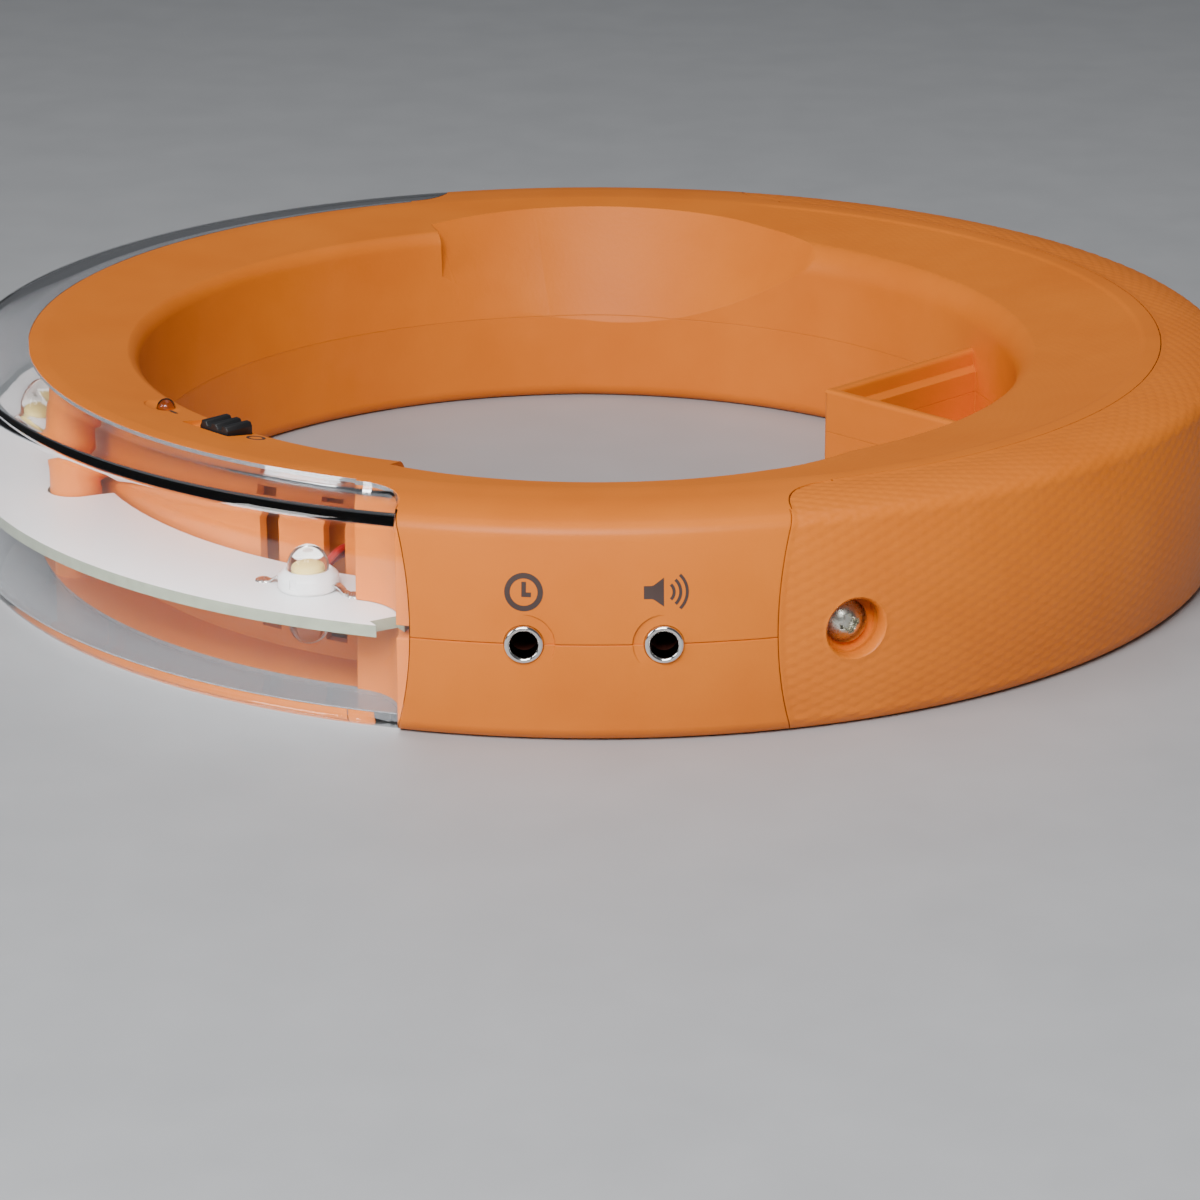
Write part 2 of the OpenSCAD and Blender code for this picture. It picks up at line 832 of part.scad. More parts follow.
// Corner cutting, once: each stretch keeps only its middle half
function soften(p) = concat([p[0]],
    [for (i = [0:len(p) - 2]) each [0.75 * p[i] + 0.25 * p[i + 1], 0.25 * p[i] + 0.75 * p[i + 1]]],
    [p[len(p) - 1]]);

module wire_pair(route, gap) {
    for (k = [0, 1]) strand(soften(soften([for (p = route) on_ring(p + gap * k)])), wire_d);
}

// Routes as angle, radius and height
battery_route = [[24, 78.6, 19.5], [20, 78.6, 20], [15, 79, 19], [12, 80, 13], [10.7, 81.4, 10.8]];
lamp_route = [[-8.5, 78.5, 10.8], [-11, 74.8, 11.4], [-14, 71.9, 12], [-20, 71.4, 13],
    [-25, 71.2, 15.6], [-27.8, 71.8, 16], [-27.9, 74.5, 16], [-27.9, 77.6, 15.2]];
sounder_route = concat([[-12.2, 80.5, 10.8], [-12.1, 76.5, 10.8], [-12.6, 73, 8], [-14.5, 71.2, 6]],
    [for (a = [-18:-9:-162]) [a, 70.9, 5]], [[-168, 74, 8], [-174, 80, 11], [-177, 83.9, 13]]);

module battery_wires() {
    color("firebrick") wire_pair(battery_route, [0, 1.4, 0]);
}

module lamp_wires() {
    color("firebrick") wire_pair(lamp_route, [0.6, 0, 1.3]);
}

module sounder_wires() {
    color("dimgray") wire_pair(sounder_route, [0, 0, 1.3]);
}

upper_shell();
lower_shell();
lamp_lens();
grip_cover();
cover_posts();
cover_screws();
shell_screws();
lamp_board();
led_packages();
led_domes();
led_leads();
timer_jack_body();
speaker_jack_body();
timer_jack_bezel();
speaker_jack_bezel();
jack_pins();
control_board();
board_chips();
power_switch_body();
power_switch_knob();
switch_wiper();
switch_board();
indicator_led();
start_button();
button_spring();
button_switch();
button_board();
pocket_plate();
battery_1();
battery_2();
battery_3();
battery_tray();
battery_plates();
battery_springs();
sounder();
sounder_gasket();
battery_wires();
lamp_wires();
sounder_wires();
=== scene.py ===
"""Looks of a ring-shaped hand-held signal device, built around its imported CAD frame.

Shapes are worked out in millimetres, in the frame of the CAD, and scaled to metres when a piece is
finished. Angles go round the ring's axis from the front (-Y), positive towards the grip (+X).
"""
import math

import bmesh
import bpy
import numpy as np
from mathutils import Matrix, Vector


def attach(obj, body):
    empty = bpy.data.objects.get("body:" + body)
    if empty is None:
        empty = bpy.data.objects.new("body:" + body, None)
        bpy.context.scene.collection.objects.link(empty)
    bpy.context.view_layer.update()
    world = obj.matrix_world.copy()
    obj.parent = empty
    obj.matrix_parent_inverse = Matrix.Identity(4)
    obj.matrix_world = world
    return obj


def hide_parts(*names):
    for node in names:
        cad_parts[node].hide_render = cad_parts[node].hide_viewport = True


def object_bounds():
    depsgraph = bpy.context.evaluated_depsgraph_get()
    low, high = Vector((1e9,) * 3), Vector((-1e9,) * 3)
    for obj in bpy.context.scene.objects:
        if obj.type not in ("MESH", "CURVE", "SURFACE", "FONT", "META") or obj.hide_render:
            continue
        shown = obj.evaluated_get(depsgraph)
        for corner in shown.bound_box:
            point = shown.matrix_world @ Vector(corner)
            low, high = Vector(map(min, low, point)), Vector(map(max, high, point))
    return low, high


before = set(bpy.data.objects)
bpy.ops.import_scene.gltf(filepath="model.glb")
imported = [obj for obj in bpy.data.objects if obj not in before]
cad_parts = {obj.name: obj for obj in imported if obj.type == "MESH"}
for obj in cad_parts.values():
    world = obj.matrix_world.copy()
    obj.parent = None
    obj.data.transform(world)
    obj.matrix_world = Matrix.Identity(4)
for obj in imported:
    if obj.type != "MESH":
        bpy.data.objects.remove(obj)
cad_low, cad_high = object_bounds()
MM = 0.001

# ---------------------------------------------------------------- driving dimensions, in mm
RING_R = (cad_high.x - cad_low.x) / 2 / MM
RING_H = cad_high.z / MM
MID_Z = RING_H / 2
HOLE_R = 66.8
GRIP_INSET = 3.8
PARTING_Z = 14.2
WALL = 2.2
LENS_T = 2.4
SEAM_A = 14.35
BOW_R = 45
FLANGE_R = 84.2
CORNER_R = 8
SEAM_GAP = 0.12
BARREL_R = 57
FLAT_X = 82
TOP_SLOPE = 0.144
STEP_A = 22
SCOOP_Y = 34
SCOOP_SLOPE = 0.643
SCOOP_Z = 13.5
BACK_R = 75.2
BACK_T = 1.4
BAND_IN = 81.6
JACK_X = 9
LED_R = 83
LED_ANGLES = (-27, -90, -153)
BOARD_TOP = 14.6
BOARD_LOW = 13.0
KNOB_R = 72
INDICATOR_A = -56.7
COVER_SCREW_ANGLES = (20.8, 159.2)
COVER_SEAT_R = 92
JACK_FRONT = 95.9
JACK_BACK = 92.6
MARK_LIFT = 0.035
BODY = "housing"
STEPS = 900


# ---------------------------------------------------------------- outlines
def arc(cx, cz, r, a0, a1, n):
    a = np.radians(np.linspace(a0, a1, n + 1))
    return np.column_stack([cx + r * np.cos(a), cz + r * np.sin(a)])


def inset(points, t):
    """A counter-clockwise outline moved inwards by t."""
    before = points - np.roll(points, 1, axis=0)
    after = np.roll(points, -1, axis=0) - points
    left = [np.column_stack([-v[:, 1], v[:, 0]]) / np.linalg.norm(v, axis=1)[:, None]
            for v in (before, after)]
    dot = (left[0] * left[1]).sum(axis=1)[:, None]
    return points + t * (left[0] + left[1]) / (1 + dot)


def barrel_x(z):
    return RING_R - BARREL_R + math.sqrt(BARREL_R ** 2 - (z - MID_Z) ** 2)


def barrel_a(z):
    return math.degrees(math.asin((z - MID_Z) / BARREL_R))


def slope_z(r):
    """Height of the ring's top at a radius inside the flat part."""
    return RING_H - max(0.0, FLAT_X - r) * TOP_SLOPE


LOW_FILLET = 2.9
TOP_FILLET = 2.6
TOP_FILLET_Z = RING_H - 3.4
CROWN_R = 22
CROWN_X = 86.5


def outer_side(fine=1):
    crown_start = math.degrees(math.acos((92 - CROWN_X) / CROWN_R))
    low_x = barrel_x(LOW_FILLET) - LOW_FILLET
    top_x = barrel_x(TOP_FILLET_Z) - TOP_FILLET
    return np.vstack([
        arc(low_x, LOW_FILLET, LOW_FILLET, 270, 345, 6 * fine),
        arc(RING_R - BARREL_R, MID_Z, BARREL_R, barrel_a(LOW_FILLET), barrel_a(TOP_FILLET_Z),
            14 * fine),
        arc(top_x, TOP_FILLET_Z, TOP_FILLET, 20, 68, 4 * fine),
        arc(CROWN_X, RING_H - CROWN_R, CROWN_R, crown_start, 90, 5 * fine)])


def ring_outline(fine=1):
    inner_r = 58
    rs = np.linspace(FLAT_X, inner_r, 80)
    top = np.column_stack([rs, [slope_z(r) for r in rs]])
    return np.vstack([[[inner_r, 0]], outer_side(fine), [[84, RING_H]], top])


def hole_outline(lip_x, lip_r, drop, upper):
    """Half section of the hand hole: about the axis, rounded into the ring's top or its bottom."""
    if upper:
        lip_z = RING_H - drop - lip_r
        lean = (lip_x - lip_r - HOLE_R) / (lip_z - PARTING_Z)
        low = HOLE_R - (PARTING_Z + 10) * lean
        return np.vstack([[[0.5, -10], [low, -10]], arc(lip_x, lip_z, lip_r, 180, 98, 10),
                          [[lip_x + 4, 50], [0.5, 50]]])
    edge = 2.5
    return np.vstack([[[0.5, -10], [HOLE_R + edge, -10]],
                      arc(HOLE_R + edge, edge, edge, 270, 180, 8), [[HOLE_R, 50], [0.5, 50]]])


# ---------------------------------------------------------------- mesh helpers
def mesh_object(name, verts, faces):
    mesh = bpy.data.meshes.new(name)
    mesh.from_pydata([tuple(v) for v in verts], [], [tuple(f) for f in faces])
    mesh.validate()
    obj = bpy.data.objects.new(name, mesh)
    bpy.context.scene.collection.objects.link(obj)
    return obj


def outward(obj):
    bm = bmesh.new()
    bm.from_mesh(obj.data)
    bmesh.ops.recalc_face_normals(bm, faces=bm.faces)
    bm.to_mesh(obj.data)
    bm.free()
    return obj


def revolve(outline, name="form", steps=STEPS, a0=None, a1=None, shift_x=0, warp=None):
    """An outline of (radius, z) turned round the axis: all the way, or from angle a0 to a1."""
    closed = a0 is None
    turns = np.radians(np.linspace(0, 360, steps, endpoint=False) if closed
                       else np.linspace(a0, a1, steps))
    n = len(outline)
    grid = np.broadcast_to(outline, (steps, n, 2)).copy()
    if warp:
        grid = warp(np.degrees(turns), grid)
    sin, cos = np.sin(turns)[:, None], np.cos(turns)[:, None]
    verts = np.stack([grid[..., 0] * sin + shift_x, -grid[..., 0] * cos, grid[..., 1]], axis=-1)
    i, j = np.meshgrid(np.arange(steps if closed else steps - 1), np.arange(n), indexing="ij")
    i2, j2 = (i + 1) % steps, (j + 1) % n
    quads = np.stack([i * n + j, i2 * n + j, i2 * n + j2, i * n + j2], axis=-1).reshape(-1, 4)
    faces = quads.tolist()
    if not closed:
        faces += [list(range(n))[::-1], [(steps - 1) * n + k for k in range(n)]]
    return outward(mesh_object(name, verts.reshape(-1, 3), faces))


def prism(points, z0, z1, name="prism"):
    n = len(points)
    verts = [(x, y, z) for z in (z0, z1) for x, y in points]
    sides = [[k, (k + 1) % n, n + (k + 1) % n, n + k] for k in range(n)]
    return outward(mesh_object(name, verts, [list(range(n))[::-1],
                                             list(range(n, 2 * n))] + sides))


def block(x0, x1, y0, y1, z0, z1, name="block"):
    return prism([(x0, y0), (x1, y0), (x1, y1), (x0, y1)], z0, z1, name)


def lathe(outline, name="turned", steps=96, at=Matrix()):
    """A closed outline of (radius, height), on or off the axis, turned about Z, then placed."""
    bm = bmesh.new()
    rings = []
    for r, z in outline:
        if r < 1e-6:
            rings.append([bm.verts.new((0, 0, z))])
        else:
            rings.append([bm.verts.new((r * math.cos(a), r * math.sin(a), z))
                          for a in np.linspace(0, 2 * math.pi, steps, endpoint=False)])
    count = len(rings)
    for k in range(count):
        a, b = rings[k], rings[(k + 1) % count]
        if len(a) == 1 and len(b) == 1:
            continue
        for i in range(steps):
            corners = [a[i % len(a)], a[(i + 1) % len(a)], b[(i + 1) % len(b)], b[i % len(b)]]
            bm.faces.new(list(dict.fromkeys(corners)))
    bmesh.ops.recalc_face_normals(bm, faces=bm.faces)
    mesh = bpy.data.meshes.new(name)
    bm.to_mesh(mesh)
    bm.free()
    obj = bpy.data.objects.new(name, mesh)
    bpy.context.scene.collection.objects.link(obj)
    mesh.transform(at)
    return obj


def drum(r, z0, z1, at=Matrix(), steps=96, r_top=None):
    top = r if r_top is None else r_top
    return lathe([(0, z0), (r, z0), (top, z1), (0, z1)], "drum", steps, at)


def turned(angle):
    return Matrix.Rotation(math.radians(angle), 4, "Z")


def outwards(angle, r, z):
    """A frame at angle, radius and height whose +Z points out of the ring."""
    return (turned(angle) @ Matrix.Translation((0, -r, z))
            @ Matrix.Rotation(math.radians(90), 4, "X"))


def mirror_y(obj):
    """A copy of obj on the other side of the ring."""
    mesh = obj.data.copy()
    mesh.transform(Matrix.Scale(-1, 4, (0, 1, 0)))
    mesh.flip_normals()
    twin = bpy.data.objects.new(obj.name, mesh)
    bpy.context.scene.collection.objects.link(twin)
    return twin


def mirror_x(obj):
    obj.data.transform(Matrix.Scale(-1, 4, (1, 0, 0)))
    obj.data.flip_normals()
    return obj


def boolean(obj, others, operation):
    for other in others:
        mod = obj.modifiers.new("boolean", "BOOLEAN")
        mod.operation = operation
        mod.solver = "MANIFOLD"
        mod.object = other
        graph = bpy.context.evaluated_depsgraph_get()
        mesh = bpy.data.meshes.new_from_object(obj.evaluated_get(graph))
        obj.modifiers.clear()
        obj.data = mesh
        bpy.data.objects.remove(other)
    return obj


def cut(obj, *others):
    return boolean(obj, others, "DIFFERENCE")


def join(obj, *others):
    return boolean(obj, others, "UNION")


def common(obj, *others):
    return boolean(obj, others, "INTERSECT")


def bevel(obj, width, segments=3, angle=35):
    bm = bmesh.new()
    bm.from_mesh(obj.data)
    bmesh.ops.dissolve_limit(bm, angle_limit=math.radians(0.5), verts=bm.verts, edges=bm.edges)
    edges = [e for e in bm.edges if e.is_manifold
             and e.calc_face_angle(0) > math.radians(angle)]
    bmesh.ops.bevel(bm, geom=edges, offset=width, segments=segments, affect="EDGES",
                    profile=0.5, clamp_overlap=True)
    bm.to_mesh(obj.data)
    bm.free()
    return obj


def piece(obj, name, material, body=BODY, replaces=(), sharp=32, shadow=True):
    """Names a finished shape, scales it to metres, shades it and lets it ride on its body."""
    obj.name = name
    obj.visible_shadow = shadow
    obj.data.transform(Matrix.Scale(MM, 4))
    obj.data.shade_smooth()
    obj.data.set_sharp_from_angle(angle=math.radians(sharp))
    obj.data.materials.clear()
    for m in material if isinstance(material, (list, tuple)) else [material]:
        obj.data.materials.append(m)
    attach(obj, body)
    if replaces:
        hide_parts(*replaces)
    return obj


def merged(objs, name):
    """Several shapes as one object."""
    bm = bmesh.new()
    for obj in objs:
        bm.from_mesh(obj.data)
        bpy.data.objects.remove(obj)
    mesh = bpy.data.meshes.new(name)
    bm.to_mesh(mesh)
    bm.free()
    out = bpy.data.objects.new(name, mesh)
    bpy.context.scene.collection.objects.link(out)
    return out


# ---------------------------------------------------------------- materials
class Nodes:
    """Short hand for building a material's node tree."""

    def __init__(self, name):
        self.material = bpy.data.materials.new(name)
        self.material.use_nodes = True
        self.tree = self.material.node_tree
        self.shader = self.tree.nodes["Principled BSDF"]

    def add(self, kind, **values):
        node = self.tree.nodes.new(kind)
        for key, value in values.items():
            if key in node.inputs:
                node.inputs[key].default_value = value
            else:
                setattr(node, key, value)
        return node

    def link(self, source, target, name):
        self.tree.links.new(source, target.inputs[name])

    def noise(self, scale, detail=3.0, roughness=0.55):
        where = self.add("ShaderNodeTexCoord")
        node = self.add("ShaderNodeTexNoise", Scale=scale, Detail=detail, Roughness=roughness)
        self.link(where.outputs["Object"], node, "Vector")
        return node.outputs["Fac"]

    def ramp(self, source, low, high, start=0.3, end=0.7):
        node = self.add("ShaderNodeValToRGB")
        node.color_ramp.elements[0].position = start
        node.color_ramp.elements[1].position = end
        node.color_ramp.elements[0].color = (*low, 1)
        node.color_ramp.elements[1].color = (*high, 1)
        self.link(source, node, "Fac")
        return node.outputs["Color"]

    def spread(self, source, low, high):
        node = self.add("ShaderNodeMapRange")
        node.inputs["To Min"].default_value = low
        node.inputs["To Max"].default_value = high
        self.link(source, node, "Value")
        return node.outputs["Result"]

    def bump(self, source, depth, strength=1.0, rounding=0.0):
        node = self.add("ShaderNodeBump", Strength=strength, Distance=depth)
        self.link(source, node, "Height")
        if rounding:
            edge = self.add("ShaderNodeBevel", samples=4, Radius=rounding)
            self.link(edge.outputs["Normal"], node, "Normal")
        self.link(node.outputs["Normal"], self.shader, "Normal")


def surface(name, low, high, rough=(0.35, 0.45), grain=900.0, depth=0.00002, patch=60.0,
            metallic=0.0, rounding=0.0, **sockets):
    """A material with gently varying colour and roughness over a fine grain."""
    m = Nodes(name)
    m.link(m.ramp(m.noise(patch), low, high), m.shader, "Base Color")
    fine = m.noise(grain, 2.0)
    m.link(m.spread(m.noise(patch * 4), *rough), m.shader, "Roughness")
    m.bump(fine, depth, 1.0, rounding)
    m.shader.inputs["Metallic"].default_value = metallic
    for key, value in sockets.items():
        m.shader.inputs[key.replace("_", " ")].default_value = value
    return m.material


def clear(name, tint, ior, rough):
    m = Nodes(name)
    m.link(m.ramp(m.noise(40.0), tuple(0.97 * c for c in tint), tint), m.shader, "Base Color")
    m.link(m.spread(m.noise(300.0), *rough), m.shader, "Roughness")
    m.bump(m.noise(120.0), 0.000004)
    m.shader.inputs["Transmission Weight"].default_value = 1.0
    m.shader.inputs["IOR"].default_value = ior
    return m.material


def laminate(name, face, edge):
    """A circuit board: a coloured mask on its two faces and bare glass fibre on its cut edge."""
    m = Nodes(name)
    normal = m.add("ShaderNodeNewGeometry")
    parts = m.add("ShaderNodeSeparateXYZ")
    m.link(normal.outputs["True Normal"], parts, "Vector")
    flat = m.add("ShaderNodeMath", operation="ABSOLUTE")
    m.link(parts.outputs["Z"], flat, "Value")
    mix = m.add("ShaderNodeMix", data_type="RGBA")
    m.link(m.spread(flat.outputs["Value"], 0.0, 1.0), mix, "Factor")
    m.tree.links.new(m.ramp(m.noise(500.0), edge, tuple(c * 1.25 for c in edge)), mix.inputs[6])
    m.tree.links.new(m.ramp(m.noise(90.0), face, tuple(min(1, c * 1.05) for c in face)),
                     mix.inputs[7])
    m.tree.links.new(mix.outputs[2], m.shader.inputs["Base Color"])
    m.link(m.spread(m.noise(200.0), 0.3, 0.42), m.shader, "Roughness")
    m.bump(m.noise(1400.0), 0.00001)
    return m.material


ORANGE_LOW = (0.68, 0.165, 0.010)
ORANGE_HIGH = (0.74, 0.190, 0.014)
orange = surface("orange_plastic", ORANGE_LOW, ORANGE_HIGH, (0.42, 0.50), 1500.0, 0.00002,
                 rounding=0.00022, Specular_IOR_Level=0.28)
orange_grip = surface("orange_grip_plastic", ORANGE_LOW, ORANGE_HIGH, (0.40, 0.48), 1500.0,
                      0.00002, Specular_IOR_Level=0.34)
jack_plastic = surface("jack_plastic", (0.045, 0.010, 0.006), (0.065, 0.016, 0.010), (0.3, 0.4))
window = clear("clear_window", (0.95, 0.965, 0.99), 1.58, (0.0, 0.03))
white_board = laminate("white_board", (0.80, 0.80, 0.80), (0.30, 0.33, 0.24))
green_board = laminate("green_board", (0.02, 0.14, 0.05), (0.30, 0.30, 0.18))
lamp_white = surface("lamp_white", (0.80, 0.80, 0.79), (0.86, 0.86, 0.85), (0.28, 0.36), 1200.0)
dome_clear = clear("lamp_dome_clear", (1.0, 0.99, 0.96), 1.45, (0.0, 0.02))
phosphor = surface("lamp_phosphor", (0.85, 0.62, 0.16), (0.93, 0.76, 0.30), (0.5, 0.6), 3000.0)
tin = surface("solder_tin", (0.62, 0.60, 0.56), (0.78, 0.76, 0.72), (0.16, 0.34), 1600.0,
              0.00004, 900.0, metallic=1.0)
nickel = surface("polished_nickel", (0.70, 0.69, 0.67), (0.80, 0.79, 0.77), (0.07, 0.16), 500.0,
                 0.000006, metallic=1.0)
zinc = surface("zinc_plate", (0.56, 0.55, 0.46), (0.74, 0.73, 0.66), (0.20, 0.38), 1800.0,
               0.00002, 700.0, metallic=1.0, rounding=0.0001)
steel_wire = surface("spring_wire", (0.50, 0.50, 0.50), (0.66, 0.66, 0.66), (0.2, 0.35),
                     900.0, metallic=1.0)
black = surface("black_plastic", (0.008, 0.008, 0.009), (0.016, 0.016, 0.017), (0.34, 0.48),
                1500.0, 0.00002, rounding=0.00012)
print_ink = surface("printed_mark", (0.045, 0.026, 0.022), (0.065, 0.038, 0.032), (0.45, 0.6),
                    2500.0)
indicator_red = clear("indicator_lens", (0.98, 0.80, 0.76), 1.5, (0.05, 0.15))
sleeve = surface("cell_sleeve", (0.03, 0.06, 0.12), (0.05, 0.09, 0.17), (0.25, 0.35), 800.0)
foam = surface("foam", (0.012, 0.012, 0.012), (0.03, 0.03, 0.03), (0.8, 0.95), 2500.0, 0.0001)
wire_red = surface("red_wire", (0.36, 0.01, 0.008), (0.50, 0.02, 0.015), (0.3, 0.4), 900.0)
wire_grey = surface("grey_wire", (0.07, 0.07, 0.075), (0.12, 0.12, 0.13), (0.3, 0.4), 900.0)


# ---------------------------------------------------------------- the ring's own forms
def hole_form(t, upper):
    lamp = (HOLE_R + 1.2 + 2.6, 2.6, 1.6)
    grip = (HOLE_R + 5, 5, 1.9)
    forms = [revolve(np.maximum(inset(hole_outline(*lip, upper), -t), [0.2, -50]),
                     "hole", STEPS, shift_x=x) for lip, x in ((lamp, 0), (grip, -GRIP_INSET))]
    for form in forms:
        fill_axis(form)
    return common(*forms)


def fill_axis(form):
    """Closes the thin bore that a full turn leaves round its axis."""
    lo = min(v.co.z for v in form.data.vertices)
    hi = max(v.co.z for v in form.data.vertices)
    x = sum(v.co.x for v in form.data.vertices) / len(form.data.vertices)
    core = drum(1.5, lo + 0.01, hi - 0.01, Matrix.Translation((x, 0, 0)))
    return join(form, core)


def scoop(t):
    """The oblique cone that thins the inner edge at the front, up to the step on the lamp side."""
    r0 = HOLE_R - SCOOP_Y + t / math.cos(math.atan(SCOOP_SLOPE))
    below, above = 6, 30
    cone = drum(r0 - below * SCOOP_SLOPE, SCOOP_Z - below, SCOOP_Z + above,
                Matrix.Translation((0, -SCOOP_Y, 0)), 360, r0 + above * SCOOP_SLOPE)
    side = block(0, 150, -150, 50, 0, 60)
    side.data.transform(turned(-STEP_A - t * 0.8))
    return common(cone, side)


def ring_form(t, upper, fine=1, warp=None):
    form = revolve(inset(ring_outline(fine), t), "ring", STEPS, warp=warp)
    form = cut(form, hole_form(t, upper))
    front = scoop(t)
    rear = mirror_y(front)
    form = cut(form, front, rear)
    z0, z1 = (PARTING_Z, 60) if upper else (-20, PARTING_Z)
    return common(form, block(-150, 150, -150, 150, z0, z1))


def seam_end(grow):
    """The space of the lens or cover at one end: bowed, with a rounded corner on its inner edge."""
    tube = drum(BOW_R, 0, 130, Matrix.Translation((BOW_R - grow, 0, MID_Z))
                @ Matrix.Rotation(math.radians(90), 4, "X"), 256)
    bow_in = BOW_R - math.sqrt(BOW_R ** 2 - MID_Z ** 2)
    x0, y0 = bow_in - grow, -(FLANGE_R - grow)
    corner = block(x0 - 8, x0 + CORNER_R, y0 - CORNER_R, y0 + 2, -6, 41)
    corner = cut(corner, drum(CORNER_R, -7, 43, Matrix.Translation(
        (x0 + CORNER_R, y0 - CORNER_R, 0)), 128))
    tube = cut(tube, corner)
    tube.data.transform(turned(SEAM_A))
    return tube


def insert_space(grow):
    front = seam_end(grow)
    rear = mirror_y(front)
    middle = block(RING_R * math.sin(math.radians(SEAM_A + 15)), 150, -150, 150, -5, 55)
    space = join(middle, front, rear)
    r = FLANGE_R - grow
    ring = revolve(np.array([[r, -20], [140, -20], [140, 60], [r, 60]]), "space", STEPS)
    return common(space, ring)


GRIP_START = 17
SCALE_PITCH = 3.72
SCALE_ROW = 1.56
SCALE_DEPTH = 0.13


def smooth(x):
    x = np.clip(x, 0, 1)
    return x * x * (3 - 2 * x)


def scales(u, v, pitch=SCALE_PITCH, row=SCALE_ROW):
    """Height from 0 to 1 of overlapping scales; u runs along the rows and v up across them."""
    p = (u / pitch + v / row) % 1.0
    q = (u / pitch - v / row) % 1.0
    drop = np.minimum(p, 1 - q)
    rise = np.minimum(1 - p, q)
    tilt = 0.35 + 0.65 * (1 - (p + 1 - q) / 2)
    return smooth(drop / 0.34) * smooth(0.25 + rise / 0.25) * tilt


def top_relief(turns, grid):
    """The fine grip texture on the inner slope of the grip side, beside the smooth band."""
    r = grid[..., 0]
    along = np.radians(turns)[:, None] * 76
    angles = turns[:, None]
    side = smooth((angles - GRIP_START) / 6) * smooth((180 - GRIP_START - angles) / 6)
    on_top = smooth((BAND_IN - r) / 0.5) * (grid[..., 1] > RING_H - 4)
    lift = (scales(along, r, 2.4, 1.1) - 1.0) * 0.09 - 0.08
    out = grid.copy()
    out[..., 1] += side * on_top * lift
    return out


def shell(upper):
    outer = ring_form(0, upper, 2, top_relief if upper else None)
    outer = cut(outer, ring_form(WALL, upper))
    right = insert_space(SEAM_GAP)
    left = mirror_x(insert_space(SEAM_GAP))
    return cut(outer, right, left)


def web(r0):
    """The wall just behind a seam."""
    form = revolve(inset(ring_outline(), WALL / 2), "web", 60, SEAM_A - 5, SEAM_A + 14)
    r_space = revolve(np.array([[r0, -20], [140, -20], [140, 60], [r0, 60]]), "space", 360)
    form = common(form, seam_end(2), r_space)
    return cut(form, seam_end(SEAM_GAP), scoop(WALL / 2))


def webs():
    """Webs at the four seams, with room for the cover's posts and for the lamp board."""
    room = block(-3.7, 3.7, -87.7, -79.8, 2, 18.4)
    room.data.transform(turned(20.8))
    grip = cut(web(FLANGE_R - 2), room)
    slot = block(0.4, 24.4, -93.8, -75, BOARD_LOW - 0.1, BOARD_TOP + 0.1)
    slot.data.transform(turned(SEAM_A))
    lamp = mirror_x(cut(web(BACK_R - BACK_T / 2), slot))
    return [grip, mirror_y(grip), lamp, mirror_y(lamp)]


def back_wall():
    z0, z1 = WALL / 2, RING_H - WALL * 0.6
    wall = revolve(np.array([[BACK_R - BACK_T, z0], [BACK_R, z0], [BACK_R, z1],
                             [BACK_R - BACK_T, z1]]), "back", 400, SEAM_A - 180, -SEAM_A)
    front = scoop(WALL / 2)
    rear = mirror_y(front)
    return cut(wall, front, rear)


def half_of(obj, upper):
    z0, z1 = (PARTING_Z, 60) if upper else (-20, PARTING_Z)
    return common(obj, block(-150, 150, -150, 150, z0, z1))


BOSSES = ((0, 73.6, 21.5), (180, 73.6, 21.5), (22.3, 73, 21.5), (157.7, 73, 21.5),
          (-67.5, 80.3, 29.7), (-112.5, 80.3, 29.7))


def bosses(upper):
    found = []
    for angle, r, top in BOSSES:
        z0, z1 = (PARTING_Z, top) if upper else (1, PARTING_Z)
        place = turned(angle) @ Matrix.Translation((0, -r, 0))
        post = drum(3.6, z0, z1, place, 64)
        if upper and r < BACK_R:
            front = scoop(WALL / 2)
            post = cut(post, mirror_y(front), front)
        found.append(post)
    return found


def lamp_slots():
    found = []
    for angle in (-35.7, -27.5):
        slot = block(-1.65, 1.65, -BACK_R - 2, -BACK_R + 2, 4.5, 26)
        slot.data.transform(turned(angle))
        found += [slot, mirror_y(slot)]
    return found


def jack_cutters(depth):
    found = []
    for x in (-JACK_X, JACK_X):
        at = Matrix.Translation((x, -RING_R, PARTING_Z)) @ Matrix.Rotation(math.radians(90), 4, "X")
        found.append(drum(2.6, -18, 3, at))
        dish = drum(3.95, -depth, 1, at, 128, 3.95 + (1 + depth) * 0.35)
        limit = revolve(np.array([[RING_R - depth, 0], [110, 0], [110, 40], [RING_R - depth, 40]]),
                        "limit", STEPS)
        found.append(common(dish, limit))
    return found


def sound_slots():
    found = []
    for i in range(-3, 4):
        half = math.sqrt(8.6 ** 2 - (i * 2.6) ** 2)
        x = i * 2.6
        slot = block(x - 0.6, x + 0.6, 91.5, 99.5, MID_Z - half + 0.6, MID_Z + half - 0.6)
        for z in (MID_Z - half + 0.6, MID_Z + half - 0.6):
            slot = join(slot, drum(0.6, 0, 8, Matrix.Translation((x, 99.5, z))
                                   @ Matrix.Rotation(math.radians(90), 4, "X"), 32))
        found.append(slot)
    return found


def parting_groove():
    r = barrel_x(PARTING_Z)
    return revolve(np.array([[r - 0.22, PARTING_Z], [r + 0.4, PARTING_Z - 0.3],
                             [r + 0.4, PARTING_Z + 0.3]]), "groove", STEPS)


POCKET_X = 34.5
POCKET_H = 20.7
POCKET_T = 1.7
LEDGE_Z = POCKET_H - 3


